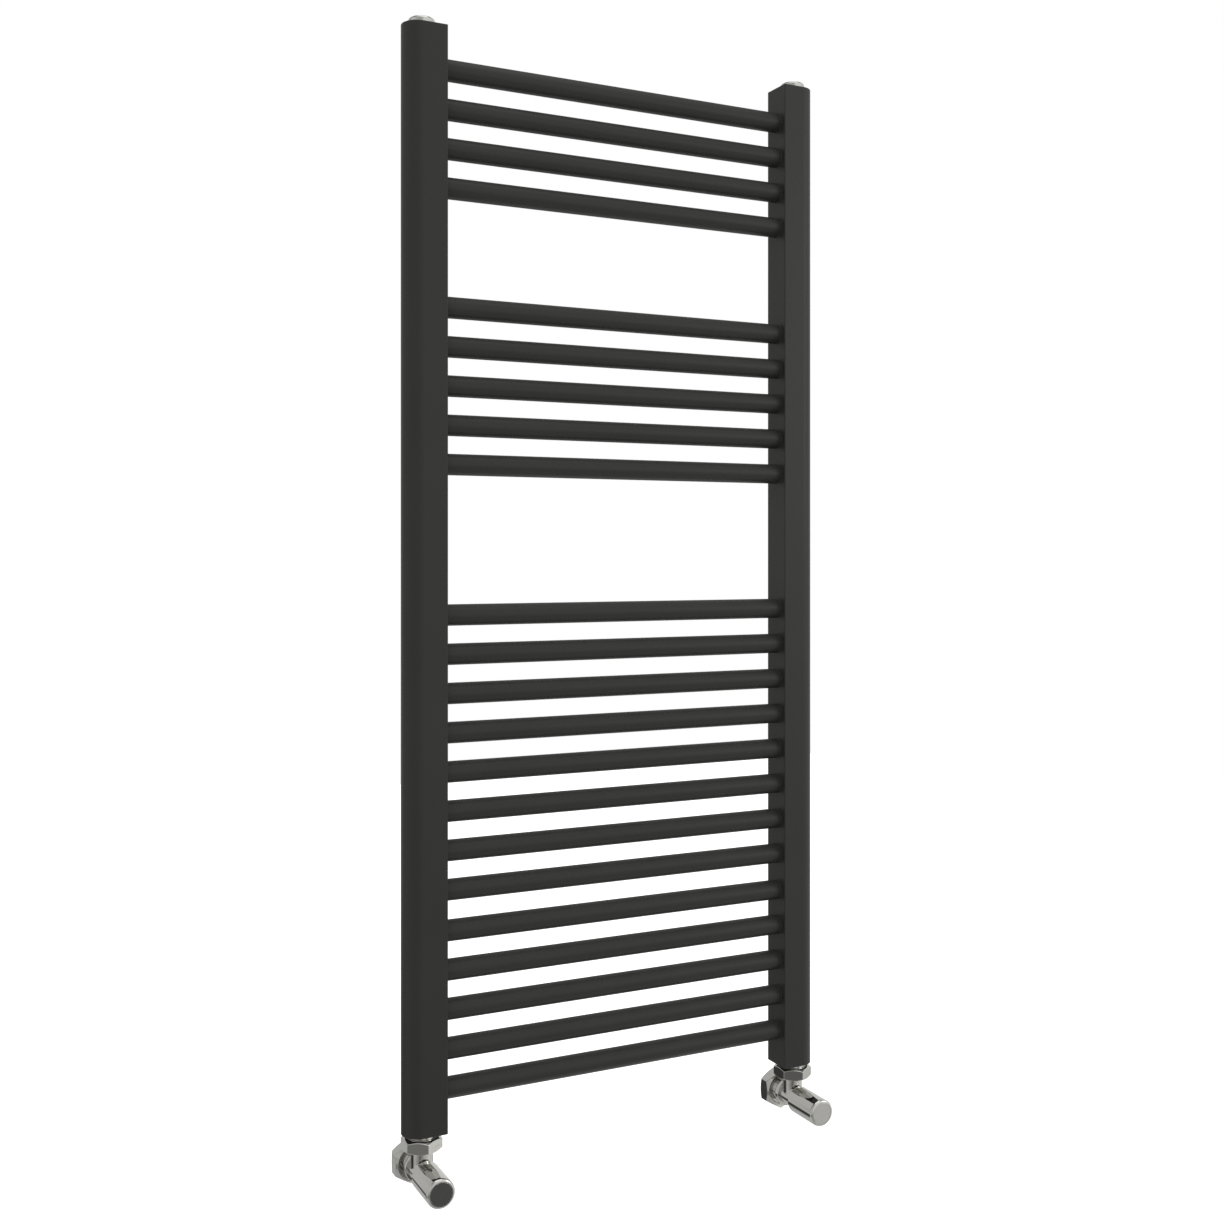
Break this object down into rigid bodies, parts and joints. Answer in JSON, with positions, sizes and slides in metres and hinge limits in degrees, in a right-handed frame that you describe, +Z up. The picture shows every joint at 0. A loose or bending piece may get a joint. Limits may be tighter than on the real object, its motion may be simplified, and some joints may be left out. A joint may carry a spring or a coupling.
{
  "type": "towel radiator",
  "caption": "Wall-hung ladder radiator with D-section uprights, round rails in groups, plugs on top and a chrome angled hand valve under each upright.",
  "frame": {"origin": "centre of the wall fixings: half-way between the uprights, on the plane of the rails' axes, at half the uprights' height", "axes": "+X along the rails to the right as seen from the room, +Y towards the wall, +Z up"},
  "size_m": [0.4888, 0.0967, 1.187],
  "materials": {
    "anthracite": "satin powder coat with a very fine orange peel",
    "chrome": "polished plating",
    "brass": "machined",
    "steel": "bright zinc plating",
    "rubber": "matte"
  },
  "bodies": {
    "radiator": {"air_vent_plug": "chrome", "blanking_plug": "chrome", "end_plates": "anthracite", "left_bonnet": "chrome", "left_bonnet_seal": "rubber", "left_compression_nut": "chrome", "left_olive": "brass", "left_tailpiece": "brass", "left_union_nut": "chrome", "left_upright": "anthracite", "left_valve_body": "chrome", "rail_01": "anthracite", "rail_02": "anthracite", "rail_03": "anthracite", "rail_04": "anthracite", "rail_05": "anthracite", "rail_06": "anthracite", "rail_07": "anthracite", "rail_08": "anthracite", "rail_09": "anthracite", "rail_10": "anthracite", "rail_11": "anthracite", "rail_12": "anthracite", "rail_13": "anthracite", "rail_14": "anthracite", "rail_15": "anthracite", "rail_16": "anthracite", "rail_17": "anthracite", "rail_18": "anthracite", "rail_19": "anthracite", "rail_20": "anthracite", "rail_21": "anthracite", "rail_22": "anthracite", "right_bonnet": "chrome", "right_bonnet_seal": "rubber", "right_compression_nut": "chrome", "right_olive": "brass", "right_tailpiece": "brass", "right_union_nut": "chrome", "right_upright": "anthracite", "right_valve_body": "chrome", "tail_collars": "chrome", "tapping_seals": "rubber"},
    "left_plunger": {"left_clack": "brass", "left_clack_washer": "rubber"},
    "left_handle": {"left_spindle": "brass", "left_spindle_seal": "rubber", "left_handwheel": "chrome", "left_handle_cap": "chrome", "left_handle_screw": "steel"},
    "right_plunger": {"right_clack": "brass", "right_clack_washer": "rubber"},
    "right_handle": {"right_spindle": "brass", "right_spindle_seal": "rubber", "right_handwheel": "chrome", "right_handle_cap": "chrome", "right_handle_screw": "steel"},
    "vent_plunger": {"vent_seal": "rubber"},
    "vent_spindle": {"vent_screw": "chrome"}
  },
  "joints": [
    {"name": "left_plunger_slide", "type": "slide", "parent": "radiator", "child": "left_plunger", "axis": [0, -1, 0], "range_m": [0, 0.0045]},
    {"name": "left_handle_turn", "type": "hinge", "parent": "left_plunger", "child": "left_handle", "pos_m": [-0.2235, 0, -0.598], "axis": [0, -1, 0], "range_deg": [0, 1080.5]},
    {"name": "right_plunger_slide", "type": "slide", "parent": "radiator", "child": "right_plunger", "axis": [0, -1, 0], "range_m": [0, 0.0045]},
    {"name": "right_handle_turn", "type": "hinge", "parent": "right_plunger", "child": "right_handle", "pos_m": [0.2235, 0, -0.598], "axis": [0, -1, 0], "range_deg": [0, 1080.5]},
    {"name": "vent_plunger_slide", "type": "slide", "parent": "radiator", "child": "vent_plunger", "axis": [0, 0, 1], "range_m": [0, 0.0015]},
    {"name": "vent_spindle_turn", "type": "hinge", "parent": "vent_plunger", "child": "vent_spindle", "pos_m": [-0.2235, 0, 0.5585], "axis": [0, 0, 1], "range_deg": [0, 540.5]}
  ],
  "couplings": [
    {"joint": "left_handle_turn", "follows": "left_plunger_slide", "rad_per_m": 4188.8},
    {"joint": "right_handle_turn", "follows": "right_plunger_slide", "rad_per_m": 4188.8},
    {"joint": "vent_spindle_turn", "follows": "vent_plunger_slide", "rad_per_m": 6283.2}
  ]
}
